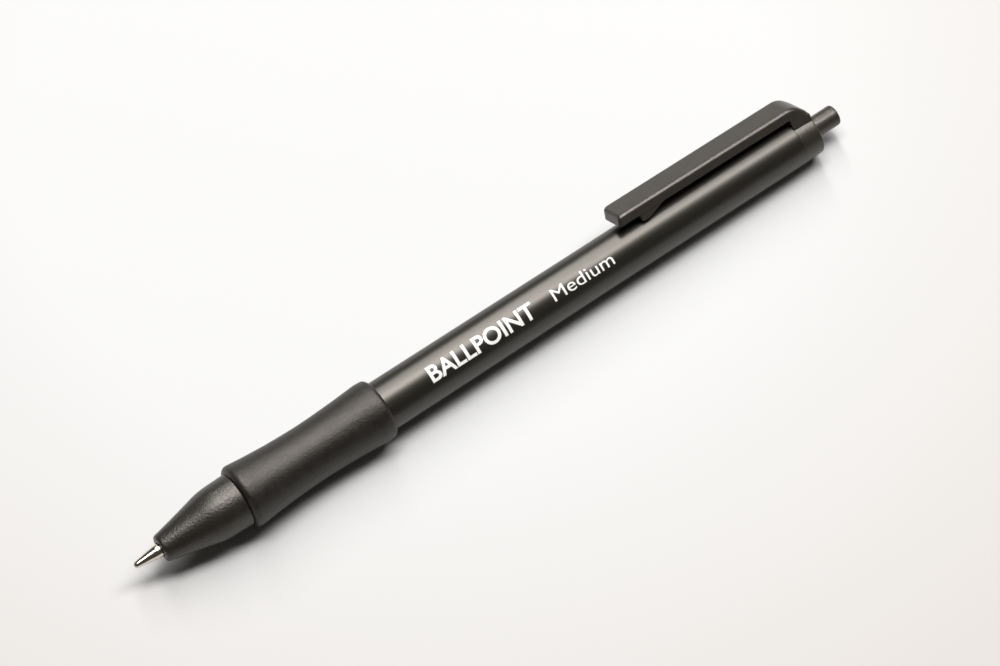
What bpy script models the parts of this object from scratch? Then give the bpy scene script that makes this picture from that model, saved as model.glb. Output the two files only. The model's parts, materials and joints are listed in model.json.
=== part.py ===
"""A retractable ballpoint pen, modelled piece by piece in Blender.

The pen lies on a flat surface, z = 0, along X: the ball is at -X and the push button at +X.
It is in its writing position, with the point out and the button latched in. The pocket clip
is rolled from the top of the pen towards +Y. Dimensions are in millimetres, and a station is
a distance along the pen from the front of the ball.
"""

import math

import bmesh
import bpy
from mathutils import Vector

MM = 0.001

# The whole pen
OVERALL = 142.7
FINE = 40  # sides of the large round pieces
COARSE = 24  # sides of the small round pieces
CAM_SIDES = 48  # sides of the cams: a whole number for each tooth
SEAM = 0.1  # gap between two pieces that meet

# How far the button and the refill move back, from the writing position
RETRACT_STROKE = 6.0

# Writing point and ball
BALL_RADIUS = 0.5
SOCKET_RADIUS = 0.53
LIP_STATION = 0.26
POINT_CONE_END = 4.2
POINT_BODY_RADIUS = 1.15
POINT_END = 14.3
FEED_RADIUS = 0.2
POINT_BORE_RADIUS = 0.55

# Front section: nose cone, grip core and threaded spigot
NOSE_FRONT = 5.05
NOSE_HOLE_RADIUS = 1.3
NOSE_HOLE_END = 6.25
NOSE_FRONT_RADIUS = 2.42
NOSE_FRONT_FILLET = 0.6
CONE_START = 5.4
CONE_END = 15.05
CONE_END_RADIUS = 4.6
CONE_HOLLOW = 0.06
NOSE_REAR_RADIUS = 4.73
GUIDE_BORE_RADIUS = 1.6
SPRING_SEAT = 9.5
CHAMBER_RADIUS = 2.45
GRIP_CORE_RADIUS = 3.8
SPIGOT_RADIUS = 3.3
THREAD_ROOT_RADIUS = 3.02
THREAD_START = 48.9
THREAD_PITCH = 1.0
THREAD_TURNS = 5
SPIGOT_END = 54.9

# Grip sleeve
GRIP_FRONT = 20.25
GRIP_END = 48.5
GRIP_LIP_RADIUS = 5.7
GRIP_LIP_STATION = 21.5
GRIP_WAIST_RADIUS = 4.92
GRIP_WAIST_STATION = 35.1
GRIP_REAR_RADIUS = 5.46
GRIP_REAR_STATION = 46.5
GRIP_LIP_FILLET = 1.1
GRIP_END_RADIUS = 5.33
GRIP_END_FILLET = 0.82
GRIP_SKIRT = 47.9  # from here back the grip laps over the barrel

# Barrel
BARREL_FRONT = 48.1
BARREL_END = 133.4
BARREL_BORE_RADIUS = 3.4
BARREL_FRONT_RADIUS = 4.4
BARREL_MIDDLE_RADIUS = 4.28
BARREL_MIDDLE = 92.3
BARREL_REAR_RADIUS = 4.33

# End cap, with the shoulder that carries the clip
CAP_FRONT = BARREL_END + SEAM
CAP_END = 137.3
CAP_END_RADIUS = 4.2
CAP_SKIRT_FRONT = 130.1
CAP_SKIRT_RADIUS = 3.3
CAP_FILLET = 0.3
CAP_BORE_RADIUS = 2.05
SHOULDER_FLAT_END = 134.9
SHOULDER_BASE = 2.85
SHOULDER_END = CAP_END - 0.1
SHOULDER_END_HEIGHT = 4.75

# Pocket clip
CLIP_ROLL = math.radians(38.0)
CLIP_WIDTH = 5.9
CLIP_THICKNESS = 1.85
CLIP_FRONT = 98.0
CLIP_FRONT_RAKE = 0.4
CLIP_ROOT = CAP_FRONT - 0.3
CLIP_ROOT_HEIGHT = 5.25  # of the underside, from the pen's axis
CLIP_FRONT_HEIGHT = 5.59
CLIP_EDGE = 0.35
CLIP_CORNER = 0.9  # rounding of its front corners, seen from above
NUB_FRONT = 102.25
NUB_FLAT_END = 103.5
NUB_BACK = 107.4
NUB_HEIGHT = 4.05
NUB_SADDLE_RADIUS = 5.0
HINGE_STATION = CAP_FRONT - 0.15
HINGE_HEIGHT = CLIP_ROOT_HEIGHT + CLIP_THICKNESS / 2

# Push button
BUTTON_RADIUS = 1.86
BUTTON_FRONT = 129.3
BUTTON_FILLET = 0.45
BUTTON_HOLLOW_RADIUS = 1.43
BUTTON_HOLLOW_END = 136.5

# Cams: four fins on the rotor, four ribs in the guide sleeve, eight teeth between the cams
RIBS = 4
FIN_HALF_WIDTH = 11.0  # degrees
RIB_HALF_WIDTH = 14.0
KEY_HALF_WIDTH = 26.0
CAM_BODY_RADIUS = 2.1
FIN_RADIUS = 2.7
RIB_RADIUS = 2.3
SLEEVE_BORE_RADIUS = 2.8
SLEEVE_RADIUS = 3.3
SLEEVE_FRONT = 112.3
SLEEVE_END = 129.9
RAMP_STATION = 117.175  # of a rib's sloping front end, at the rib's middle
CAM_GAP = 0.15
INDEX_STEP = 180.0 / RIBS  # degrees that the rotor turns as the point goes in
RAMP_SLOPE = RETRACT_STROKE / INDEX_STEP  # millimetres for each degree
FIN_FRONT = 112.7
TOOTH_HEIGHT = 0.8
TEETH = 2 * RIBS
ROTOR_FRONT = 108.8
ROTOR_SOCKET_END = 112.3
ROTOR_SOCKET_RADIUS = 1.63
ROTOR_FACE = 118.7
ROTOR_PIN_RADIUS = 1.15
ROTOR_PIN_END = 122.7
DRIVE_FACE = ROTOR_FACE + TOOTH_HEIGHT + CAM_GAP
DRIVE_BORE_RADIUS = 1.3
DRIVE_BORE_END = 123.1
DRIVE_SHAFT_RADIUS = 1.35
DRIVE_END = 136.3
KEY_FRONT = 120.9
DRIVE_BODY_END = 123.9  # of the body and of its keys

# Refill
HOLDER_FRONT = 10.9
HOLDER_RADIUS = 1.45
HOLDER_BORE_RADIUS = 1.2
FLANGE_FRONT = 27.5
FLANGE_END = 28.5
FLANGE_RADIUS = 2.25
HOLDER_SPIGOT_RADIUS = 1.12
HOLDER_END = 33.3
HOLDER_FEED_RADIUS = 0.6
TUBE_FRONT = 28.6
TUBE_END = 112.15
TUBE_RADIUS = 1.55
TUBE_BORE_RADIUS = 1.2
INK_FRONT = 33.5
INK_END = 98.3
INK_RADIUS = 1.12

# Return spring, as squeezed in the writing position
WIRE_RADIUS = 0.18
SPRING_RADIUS = 2.05
SPRING_FRONT = 9.75
SPRING_END = 27.25
SPRING_TURNS = 9
CLOSED_PITCH = 0.42
POINTS_A_TURN = 12

# The clip reaches further from the axis than the grip, so the axis lies off the pen's middle
CLIP_TOP = CLIP_FRONT_HEIGHT + CLIP_THICKNESS
CLIP_REACH = (
    (CLIP_TOP - CLIP_EDGE) * math.sin(CLIP_ROLL)
    + (CLIP_WIDTH / 2 - CLIP_EDGE) * math.cos(CLIP_ROLL)
    + CLIP_EDGE
)
AXIS_Y = (GRIP_LIP_RADIUS - CLIP_REACH) / 2
AXIS_Z = GRIP_LIP_RADIUS


def clear_scene():
    for obj in list(bpy.data.objects):
        bpy.data.objects.remove(obj, do_unlink=True)


def make_material(name, colour, roughness, metallic=0.0):
    material = bpy.data.materials.new(name)
    material.use_nodes = True
    shader = material.node_tree.nodes["Principled BSDF"]
    shader.inputs["Base Color"].default_value = (*colour, 1.0)
    shader.inputs["Roughness"].default_value = roughness
    shader.inputs["Metallic"].default_value = metallic
    material.diffuse_color = (*colour, 1.0)
    return material


def add_empty(name, station, parent=None, height=0.0, roll=0.0):
    """An empty on the pen, height above its axis at the roll given."""
    empty = bpy.data.objects.new(name, None)
    empty.parent = parent
    empty.location = (
        station * MM,
        height * math.sin(roll) * MM,
        height * math.cos(roll) * MM,
    )
    empty.rotation_euler.x = -roll
    bpy.context.scene.collection.objects.link(empty)
    return empty


def add_object(name, bm, parent, material=None):
    """A new object from a mesh in millimetres, in its parent's axes."""
    bmesh.ops.recalc_face_normals(bm, faces=bm.faces)
    bmesh.ops.scale(bm, vec=(MM, MM, MM), verts=bm.verts)
    mesh = bpy.data.meshes.new(name)
    bm.to_mesh(mesh)
    bm.free()
    mesh.shade_smooth()
    mesh.set_sharp_from_angle(angle=math.radians(32))
    obj = bpy.data.objects.new(name, mesh)
    obj.parent = parent
    if material:
        mesh.materials.append(material)
    bpy.context.scene.collection.objects.link(obj)
    return obj


def combine(obj, tool, operation):
    """Adds tool to obj, or cuts it away. The tool itself isn't a piece of the pen."""
    tool.hide_render = True
    tool.display_type = "WIRE"
    modifier = obj.modifiers.new(tool.name, "BOOLEAN")
    modifier.operation = operation
    modifier.object = tool
    modifier.solver = "EXACT"


def arc(station, radius, size, start, stop, steps):
    """Points on a circle of the given size, from angle start to stop in degrees."""
    points = []
    for i in range(steps + 1):
        angle = math.radians(start + (stop - start) * i / steps)
        points.append((station + size * math.cos(angle), radius + size * math.sin(angle)))
    return points


def rounded(outline, steps=4):
    """The outline with each corner that has a third value rounded to that fillet."""
    points = []
    for i, corner in enumerate(outline):
        here = Vector(corner[:2])
        if len(corner) == 2:
            points.append(tuple(here))
            continue
        back = (Vector(outline[i - 1][:2]) - here).normalized()
        ahead = (Vector(outline[(i + 1) % len(outline)][:2]) - here).normalized()
        half = back.angle(ahead) / 2
        reach = corner[2] / math.tan(half)
        centre = here + (back + ahead).normalized() * corner[2] / math.sin(half)
        first = here + back * reach - centre
        last = here + ahead * reach - centre
        for step in range(steps + 1):
            share = step / steps
            points.append(tuple(centre + first.slerp(last, share) * corner[2]))
    return points


def turned(outline, sides):
    """A body of revolution about X. The outline is a closed loop, or ends on the axis."""
    bm = bmesh.new()
    verts = [bm.verts.new((station, 0.0, radius)) for station, radius in outline]
    solid = outline[0][1] == 0 and outline[-1][1] == 0
    for i in range(len(verts) - 1 if solid else len(verts)):
        bm.edges.new((verts[i], verts[(i + 1) % len(verts)]))
    bmesh.ops.spin(
        bm,
        geom=list(bm.verts) + list(bm.edges),
        cent=(0, 0, 0),
        axis=(1, 0, 0),
        angle=2 * math.pi,
        steps=sides,
        use_merge=True,
    )
    bmesh.ops.remove_doubles(bm, verts=bm.verts, dist=1e-5)
    return bm


def sectors(inner, outer, half_width, first_angle, front, back, steps=6):
    """Four curved blocks round the axis. front and back give a station for each angle from
    a block's middle, in degrees."""
    bm = bmesh.new()
    for block in range(RIBS):
        middle = first_angle + 360.0 / RIBS * block
        rows = []
        for step in range(steps + 1):
            off = half_width * (2 * step / steps - 1)
            angle = math.radians(middle + off)
            across = Vector((0, math.sin(angle), math.cos(angle)))
            corners = (
                (front(off), inner),
                (back(off), inner),
                (back(off), outer),
                (front(off), outer),
            )
            rows.append([bm.verts.new(Vector((s, 0, 0)) + across * r) for s, r in corners])
        for row, following in zip(rows, rows[1:]):
            for k in range(4):
                nxt = (k + 1) % 4
                bm.faces.new((row[k], row[nxt], following[nxt], following[k]))
        bm.faces.new(rows[0])
        bm.faces.new(rows[-1])
    return bm


def extruded(outline, width, base=(0.0, 0.0)):
    """A side view, in stations and heights above the pen's axis, given a width along Y.
    base is where the new mesh has its origin."""
    bm = bmesh.new()
    verts = [bm.verts.new((s - base[0], -width / 2, h - base[1])) for s, h in outline]
    face = bm.faces.new(verts)
    moved = bmesh.ops.extrude_face_region(bm, geom=[face])["geom"]
    side = [v for v in moved if isinstance(v, bmesh.types.BMVert)]
    bmesh.ops.translate(bm, vec=(0, width, 0), verts=side)
    return bm


def round_corners(bm, limit):
    """Rounds the clip's corners in front of the limit, as seen from above."""
    front = [edge for edge in bm.edges if all(vert.co.x < limit for vert in edge.verts)]
    upright = [edge for edge in front if abs(edge.verts[0].co.y - edge.verts[1].co.y) < 1e-6]
    bmesh.ops.bevel(bm, geom=upright, offset=CLIP_CORNER, segments=4, profile=0.5, affect="EDGES")


def cut_teeth(bm, station):
    """Gives the face at this station its saw teeth, which rise towards the button."""
    sides_a_tooth = CAM_SIDES // TEETH
    for vert in bm.verts:
        if abs(vert.co.x - station) > 1e-4:
            continue
        side = round(math.atan2(vert.co.y, vert.co.z) / (2 * math.pi) * CAM_SIDES)
        vert.co.x += TOOTH_HEIGHT * (side % sides_a_tooth) / (sides_a_tooth - 1)


def bevel_edges(obj, width, segments, angle=40):
    modifier = obj.modifiers.new("edges", "BEVEL")
    modifier.width = width * MM
    modifier.segments = segments
    modifier.limit_method = "ANGLE"
    modifier.angle_limit = math.radians(angle)


def make_point_ball(axis, material):
    centre = add_empty("ball_centre", BALL_RADIUS, axis)
    bm = bmesh.new()
    bmesh.ops.create_uvsphere(bm, u_segments=COARSE, v_segments=12, radius=BALL_RADIUS)
    add_object("point_ball", bm, centre, material)


def make_writing_point(axis, material):
    lip = math.sqrt(SOCKET_RADIUS**2 - (BALL_RADIUS - LIP_STATION) ** 2)
    lip_angle = math.degrees(math.atan2(lip, LIP_STATION - BALL_RADIUS))
    feed_angle = math.degrees(math.asin(FEED_RADIUS / SOCKET_RADIUS))
    outline = arc(BALL_RADIUS, 0, SOCKET_RADIUS, feed_angle, lip_angle, 7)
    outline += [
        (LIP_STATION, lip + 0.05),
        (0.6, 0.6),
        (POINT_CONE_END, POINT_BODY_RADIUS),
        (POINT_END, POINT_BODY_RADIUS),
        (POINT_END, POINT_BORE_RADIUS),
        (2.6, POINT_BORE_RADIUS),
        (2.2, FEED_RADIUS),
    ]
    add_object("writing_point", turned(outline, COARSE), axis, material)


def make_point_holder(axis, material):
    outline = rounded(
        [
            (HOLDER_FRONT, HOLDER_BORE_RADIUS),
            (HOLDER_FRONT, HOLDER_RADIUS),
            (FLANGE_FRONT, HOLDER_RADIUS),
            (FLANGE_FRONT, FLANGE_RADIUS, 0.1),
            (FLANGE_END, FLANGE_RADIUS, 0.1),
            (FLANGE_END, HOLDER_SPIGOT_RADIUS),
            (HOLDER_END, HOLDER_SPIGOT_RADIUS),
            (HOLDER_END, HOLDER_FEED_RADIUS),
            (POINT_END + 0.2, HOLDER_FEED_RADIUS),
            (POINT_END + 0.2, HOLDER_BORE_RADIUS),
        ],
        steps=2,
    )
    add_object("point_holder", turned(outline, COARSE), axis, material)


def make_refill_tube(axis, material):
    outline = [
        (TUBE_FRONT, TUBE_BORE_RADIUS),
        (TUBE_FRONT, TUBE_RADIUS),
        (TUBE_END, TUBE_RADIUS),
        (TUBE_END, TUBE_BORE_RADIUS),
    ]
    add_object("refill_tube", turned(outline, COARSE), axis, material)


def make_ink_column(axis, material):
    """The ink, with the hollow meniscus that its rear end has."""
    outline = [
        (INK_FRONT, 0),
        (INK_FRONT, INK_RADIUS),
        (INK_END, INK_RADIUS),
        (INK_END - 0.35, INK_RADIUS * 0.6),
        (INK_END - 0.5, 0),
    ]
    add_object("ink_column", turned(outline, COARSE), axis, material)


def make_return_spring(axis, material):
    """A helix with one closed turn at each end."""
    count = SPRING_TURNS * POINTS_A_TURN
    open_length = SPRING_END - SPRING_FRONT - 2 * CLOSED_PITCH
    curve = bpy.data.curves.new("return_spring", "CURVE")
    curve.dimensions = "3D"
    curve.bevel_depth = WIRE_RADIUS * MM
    curve.bevel_resolution = 1
    curve.use_fill_caps = True
    spline = curve.splines.new("POLY")
    spline.points.add(count)
    for i in range(count + 1):
        turn = i / POINTS_A_TURN
        closed = min(turn, 1.0) + max(turn - (SPRING_TURNS - 1), 0.0)
        opened = min(max(turn - 1.0, 0.0), SPRING_TURNS - 2.0)
        station = SPRING_FRONT + closed * CLOSED_PITCH + opened * open_length / (SPRING_TURNS - 2)
        angle = 2 * math.pi * turn
        spline.points[i].co = (
            station * MM,
            SPRING_RADIUS * math.sin(angle) * MM,
            SPRING_RADIUS * math.cos(angle) * MM,
            1.0,
        )
    curve.materials.append(material)
    obj = bpy.data.objects.new("return_spring", curve)
    obj.parent = axis
    bpy.context.scene.collection.objects.link(obj)


def nose_radius(station):
    """The cone is slightly hollow, by CONE_HOLLOW at its middle."""
    share = (station - CONE_START) / (CONE_END - CONE_START)
    straight = NOSE_FRONT_RADIUS + share * (CONE_END_RADIUS - NOSE_FRONT_RADIUS)
    return straight - 4 * CONE_HOLLOW * share * (1 - share)


def make_front_section(axis, material):
    """Nose cone, the core under the grip and the threaded spigot, in one moulding."""
    cone = [CONE_START + (CONE_END - CONE_START) * i / 4 for i in range(1, 4)]
    outline = [
        (NOSE_FRONT, NOSE_HOLE_RADIUS),
        (NOSE_FRONT, NOSE_FRONT_RADIUS - 0.06, NOSE_FRONT_FILLET),
        *((station, nose_radius(station)) for station in cone),
        (CONE_END, CONE_END_RADIUS, 5.0),
        (GRIP_FRONT - SEAM, NOSE_REAR_RADIUS),
        (GRIP_FRONT - SEAM, GRIP_CORE_RADIUS),
        (GRIP_SKIRT, GRIP_CORE_RADIUS),
        (GRIP_SKIRT, SPIGOT_RADIUS),
        (THREAD_START, SPIGOT_RADIUS),
    ]
    for turn in range(THREAD_TURNS):
        here = THREAD_START + turn * THREAD_PITCH
        outline += [
            (here + 0.5 * THREAD_PITCH, THREAD_ROOT_RADIUS),
            (here + THREAD_PITCH, SPIGOT_RADIUS),
        ]
    outline += [
        (SPIGOT_END, THREAD_ROOT_RADIUS),
        (SPIGOT_END, CHAMBER_RADIUS),
        (SPRING_SEAT, CHAMBER_RADIUS),
        (SPRING_SEAT, GUIDE_BORE_RADIUS),
        (NOSE_HOLE_END + 0.4, GUIDE_BORE_RADIUS),
        (NOSE_HOLE_END, NOSE_HOLE_RADIUS),
    ]
    add_object("front_section", turned(rounded(outline, 3), FINE), axis, material)


def grip_radius(station):
    """An hourglass that rises faster towards its rear lip than towards its front one."""
    if station < GRIP_WAIST_STATION:
        share = (GRIP_WAIST_STATION - station) / (GRIP_WAIST_STATION - GRIP_LIP_STATION)
        return GRIP_WAIST_RADIUS + (GRIP_LIP_RADIUS - GRIP_WAIST_RADIUS) * share**2
    share = (station - GRIP_WAIST_STATION) / (GRIP_REAR_STATION - GRIP_WAIST_STATION)
    return GRIP_WAIST_RADIUS + (GRIP_REAR_RADIUS - GRIP_WAIST_RADIUS) * share**1.6


def make_grip_sleeve(axis, material):
    rings = 10
    length = GRIP_REAR_STATION - GRIP_LIP_STATION
    waist = [GRIP_LIP_STATION + length * i / rings for i in range(rings + 1)]
    outline = [
        (GRIP_FRONT, GRIP_CORE_RADIUS + SEAM),
        (GRIP_FRONT, GRIP_LIP_RADIUS - 0.02, GRIP_LIP_FILLET),
        *((station, grip_radius(station)) for station in waist),
        (GRIP_END, GRIP_END_RADIUS, GRIP_END_FILLET),
        (GRIP_END, BARREL_FRONT_RADIUS + SEAM),
        (GRIP_SKIRT + SEAM, BARREL_FRONT_RADIUS + SEAM),
        (GRIP_SKIRT + SEAM, GRIP_CORE_RADIUS + SEAM),
    ]
    add_object("grip_sleeve", turned(rounded(outline), FINE), axis, material)


def make_barrel(axis, material):
    outline = [
        (BARREL_FRONT, BARREL_BORE_RADIUS),
        (BARREL_FRONT, BARREL_FRONT_RADIUS, 0.1),
        (BARREL_MIDDLE, BARREL_MIDDLE_RADIUS, 900.0),
        (BARREL_END, BARREL_REAR_RADIUS, 0.08),
        (BARREL_END, BARREL_BORE_RADIUS),
    ]
    add_object("barrel", turned(rounded(outline, 2), FINE), axis, material)


def make_end_cap(axis, material):
    """The ring behind the barrel, its skirt inside the barrel, and the clip's shoulder."""
    root_top = CLIP_ROOT_HEIGHT + CLIP_THICKNESS
    ring = [
        (CAP_SKIRT_FRONT, CAP_BORE_RADIUS),
        (CAP_SKIRT_FRONT, CAP_SKIRT_RADIUS, 0.15),
        (CAP_FRONT, CAP_SKIRT_RADIUS),
        (CAP_FRONT, BARREL_REAR_RADIUS, 0.06),
        (CAP_END, CAP_END_RADIUS, CAP_FILLET),
        (CAP_END, CAP_BORE_RADIUS, 0.15),
    ]
    side = [
        (CAP_FRONT, SHOULDER_BASE),
        (CAP_FRONT, root_top),
        (SHOULDER_FLAT_END, root_top, 3.2),
        (SHOULDER_END, SHOULDER_END_HEIGHT, 2.4),
        (SHOULDER_END, SHOULDER_BASE),
    ]
    turned_to_clip = add_empty("cap_axis", 0.0, axis, roll=CLIP_ROLL)
    cap = add_object("end_cap", turned(rounded(ring, 3), FINE), turned_to_clip, material)
    shoulder = add_object("cap_shoulder", extruded(rounded(side, 5), CLIP_WIDTH), turned_to_clip)
    bevel_edges(shoulder, CLIP_EDGE, 2, angle=60)
    combine(cap, shoulder, "UNION")


def make_pocket_clip(axis, material):
    """The clip's springy arm. It bends at its root, where its shoulder begins."""
    hinge = add_empty("clip_hinge", HINGE_STATION, axis, HINGE_HEIGHT, CLIP_ROLL)
    base = (HINGE_STATION, HINGE_HEIGHT)
    side = [
        (CLIP_ROOT, CLIP_ROOT_HEIGHT),
        (CLIP_FRONT, CLIP_FRONT_HEIGHT),
        (CLIP_FRONT + CLIP_FRONT_RAKE, CLIP_TOP),
        (CLIP_ROOT, CLIP_ROOT_HEIGHT + CLIP_THICKNESS),
    ]
    nub = [
        (NUB_FRONT, CLIP_FRONT_HEIGHT + 0.5),
        (NUB_FRONT, NUB_HEIGHT, 0.45),
        (NUB_FLAT_END, NUB_HEIGHT, 0.8),
        (NUB_BACK, CLIP_FRONT_HEIGHT - 0.1),
        (NUB_BACK, CLIP_FRONT_HEIGHT + 0.5),
    ]
    saddle = [
        (NUB_FRONT - 2, 0),
        (NUB_FRONT - 2, NUB_SADDLE_RADIUS),
        (NUB_BACK + 2, NUB_SADDLE_RADIUS),
        (NUB_BACK + 2, 0),
    ]
    arm = extruded(side, CLIP_WIDTH, base)
    round_corners(arm, CLIP_FRONT + 1 - HINGE_STATION)
    clip = add_object("pocket_clip", arm, hinge, material)
    bevel_edges(clip, CLIP_EDGE, 2)
    block = add_object("clip_nub", extruded(rounded(nub, 3), CLIP_WIDTH, base), hinge)
    hollow = add_object("clip_saddle", turned(saddle, FINE), hinge)
    hollow.location = (-HINGE_STATION * MM, 0, -HINGE_HEIGHT * MM)
    combine(block, hollow, "DIFFERENCE")
    combine(clip, block, "UNION")


def make_push_button(axis, material):
    outline = [
        (BUTTON_HOLLOW_END, 0),
        (BUTTON_HOLLOW_END, BUTTON_HOLLOW_RADIUS),
        (BUTTON_FRONT, BUTTON_HOLLOW_RADIUS),
        (BUTTON_FRONT, BUTTON_RADIUS, 0.15),
        (OVERALL, BUTTON_RADIUS, BUTTON_FILLET),
        (OVERALL, 0),
    ]
    add_object("push_button", turned(rounded(outline), COARSE), axis, material)


def make_drive_cam(axis, material):
    """The cam that the button pushes: saw teeth in front, four keys in the sleeve's slots."""
    outline = [
        (DRIVE_BORE_END, 0),
        (DRIVE_BORE_END, DRIVE_BORE_RADIUS),
        (DRIVE_FACE, DRIVE_BORE_RADIUS),
        (DRIVE_FACE, CAM_BODY_RADIUS),
        (DRIVE_BODY_END, CAM_BODY_RADIUS),
        (DRIVE_BODY_END, DRIVE_SHAFT_RADIUS),
        (DRIVE_END, DRIVE_SHAFT_RADIUS),
        (DRIVE_END, 0),
    ]
    bm = turned(outline, CAM_SIDES)
    cut_teeth(bm, DRIVE_FACE)
    cam = add_object("drive_cam", bm, axis, material)
    keys = sectors(
        CAM_BODY_RADIUS - 0.4,
        FIN_RADIUS,
        KEY_HALF_WIDTH,
        180.0 / RIBS,
        lambda off: KEY_FRONT,
        lambda off: DRIVE_BODY_END,
    )
    combine(cam, add_object("drive_keys", keys, axis), "UNION")


def make_index_rotor(axis, material):
    """The cam that turns a step at each click. Its fins lie on the sleeve's rib ends, which
    holds the point out, or in the slots between the ribs, which lets it in."""
    outline = [
        (ROTOR_SOCKET_END, 0),
        (ROTOR_SOCKET_END, ROTOR_SOCKET_RADIUS),
        (ROTOR_FRONT, ROTOR_SOCKET_RADIUS),
        (ROTOR_FRONT, CAM_BODY_RADIUS),
        (ROTOR_FACE, CAM_BODY_RADIUS),
        (ROTOR_FACE, ROTOR_PIN_RADIUS),
        (ROTOR_PIN_END, ROTOR_PIN_RADIUS),
        (ROTOR_PIN_END, 0),
    ]
    bm = turned(outline, CAM_SIDES)
    cut_teeth(bm, ROTOR_FACE)
    rotor = add_object("index_rotor", bm, axis, material)
    fins = sectors(
        CAM_BODY_RADIUS - 0.3,
        FIN_RADIUS,
        FIN_HALF_WIDTH,
        0.0,
        lambda off: FIN_FRONT,
        lambda off: RAMP_STATION - CAM_GAP + RAMP_SLOPE * off,
        steps=4,
    )
    combine(rotor, add_object("rotor_fins", fins, axis), "UNION")


def make_guide_sleeve(axis, material):
    """The sleeve fixed in the barrel: four ribs with sloping front ends."""
    outline = [
        (SLEEVE_FRONT, SLEEVE_BORE_RADIUS),
        (SLEEVE_FRONT, SLEEVE_RADIUS),
        (SLEEVE_END, SLEEVE_RADIUS),
        (SLEEVE_END, SLEEVE_BORE_RADIUS),
    ]
    sleeve = add_object("guide_sleeve", turned(outline, CAM_SIDES), axis, material)
    ribs = sectors(
        RIB_RADIUS,
        (SLEEVE_BORE_RADIUS + SLEEVE_RADIUS) / 2,
        RIB_HALF_WIDTH,
        0.0,
        lambda off: RAMP_STATION + RAMP_SLOPE * off,
        lambda off: SLEEVE_END - 0.2,
        steps=4,
    )
    combine(sleeve, add_object("sleeve_ribs", ribs, axis), "UNION")


def main():
    clear_scene()
    axis = add_empty("pen_axis", -OVERALL / 2)
    axis.location.y = AXIS_Y * MM
    axis.location.z = AXIS_Z * MM
    black = (0.012, 0.012, 0.011)
    gloss_black = make_material("barrel_plastic", black, 0.25)
    satin_black = make_material("satin_plastic", black, 0.45)
    rubber = make_material("grip_rubber", (0.02, 0.019, 0.018), 0.7)
    acetal = make_material("white_acetal", (0.8, 0.8, 0.77), 0.4)
    clear = make_material("tube_plastic", (0.75, 0.77, 0.74), 0.3)
    ink = make_material("ink", (0.01, 0.01, 0.012), 0.2)
    nickel = make_material("nickel_silver", (0.66, 0.62, 0.56), 0.25, metallic=1.0)
    carbide = make_material("carbide", (0.4, 0.4, 0.42), 0.2, metallic=1.0)
    steel = make_material("spring_steel", (0.5, 0.5, 0.5), 0.3, metallic=1.0)

    make_point_ball(axis, carbide)
    make_writing_point(axis, nickel)
    make_point_holder(axis, acetal)
    make_refill_tube(axis, clear)
    make_ink_column(axis, ink)
    make_return_spring(axis, steel)
    make_front_section(axis, satin_black)
    make_grip_sleeve(axis, rubber)
    make_barrel(axis, gloss_black)
    make_end_cap(axis, satin_black)
    make_pocket_clip(axis, satin_black)
    make_push_button(axis, satin_black)
    make_drive_cam(axis, acetal)
    make_index_rotor(axis, acetal)
    make_guide_sleeve(axis, acetal)


main()
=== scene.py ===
"""The retractable ballpoint pen, dressed for its picture.

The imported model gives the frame: where each piece lies and what it moves with. Profiles are in
millimetres. A station is a distance along the pen from the front of its ball, a radius is
measured from the pen's axis, and an angle turns about that axis from the top towards +Y.
"""

import json
import math

import bmesh
import bpy
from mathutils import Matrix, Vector, noise

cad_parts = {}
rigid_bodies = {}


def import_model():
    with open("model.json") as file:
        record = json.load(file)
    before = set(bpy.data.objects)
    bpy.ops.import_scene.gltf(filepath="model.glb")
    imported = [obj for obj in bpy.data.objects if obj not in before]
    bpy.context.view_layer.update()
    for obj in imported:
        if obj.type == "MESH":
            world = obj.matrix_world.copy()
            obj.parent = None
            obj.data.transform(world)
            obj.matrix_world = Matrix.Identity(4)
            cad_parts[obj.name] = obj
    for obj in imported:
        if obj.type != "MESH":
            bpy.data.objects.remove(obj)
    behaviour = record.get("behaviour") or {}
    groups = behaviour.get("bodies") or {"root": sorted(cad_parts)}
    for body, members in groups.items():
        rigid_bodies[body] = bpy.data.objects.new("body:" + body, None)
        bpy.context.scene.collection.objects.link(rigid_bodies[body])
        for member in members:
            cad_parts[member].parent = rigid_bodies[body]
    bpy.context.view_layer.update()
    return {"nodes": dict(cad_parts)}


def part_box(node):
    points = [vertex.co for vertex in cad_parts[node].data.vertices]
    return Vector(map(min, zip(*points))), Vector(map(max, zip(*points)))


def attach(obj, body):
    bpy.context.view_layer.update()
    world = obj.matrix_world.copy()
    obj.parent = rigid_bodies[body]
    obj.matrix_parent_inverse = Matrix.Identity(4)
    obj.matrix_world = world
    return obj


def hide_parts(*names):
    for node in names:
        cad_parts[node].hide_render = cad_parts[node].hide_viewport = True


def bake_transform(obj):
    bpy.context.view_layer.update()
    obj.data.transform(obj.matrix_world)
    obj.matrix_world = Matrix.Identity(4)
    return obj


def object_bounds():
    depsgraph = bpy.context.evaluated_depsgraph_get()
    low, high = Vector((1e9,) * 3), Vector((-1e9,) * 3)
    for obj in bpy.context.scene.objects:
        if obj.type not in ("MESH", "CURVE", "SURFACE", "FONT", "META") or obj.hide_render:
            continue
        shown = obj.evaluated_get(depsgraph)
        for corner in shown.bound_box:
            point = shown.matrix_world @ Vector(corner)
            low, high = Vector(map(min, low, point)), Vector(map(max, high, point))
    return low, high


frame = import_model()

MM = 0.001
ON_AXIS = 1e-6  # a smaller radius is a point of the axis
FRONT_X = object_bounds()[0].x
BARREL_LOW, BARREL_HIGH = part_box("barrel")
AXIS_Y = (BARREL_LOW.y + BARREL_HIGH.y) / 2
AXIS_Z = (BARREL_LOW.z + BARREL_HIGH.z) / 2

ROUND_SIDES = 192
SMALL_SIDES = 96
GRIP_SIDES = 256
BALL_SIDES = 48


def station_of(x):
    """The station of a place on the frame's X axis."""
    return (x - FRONT_X) / MM


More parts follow.
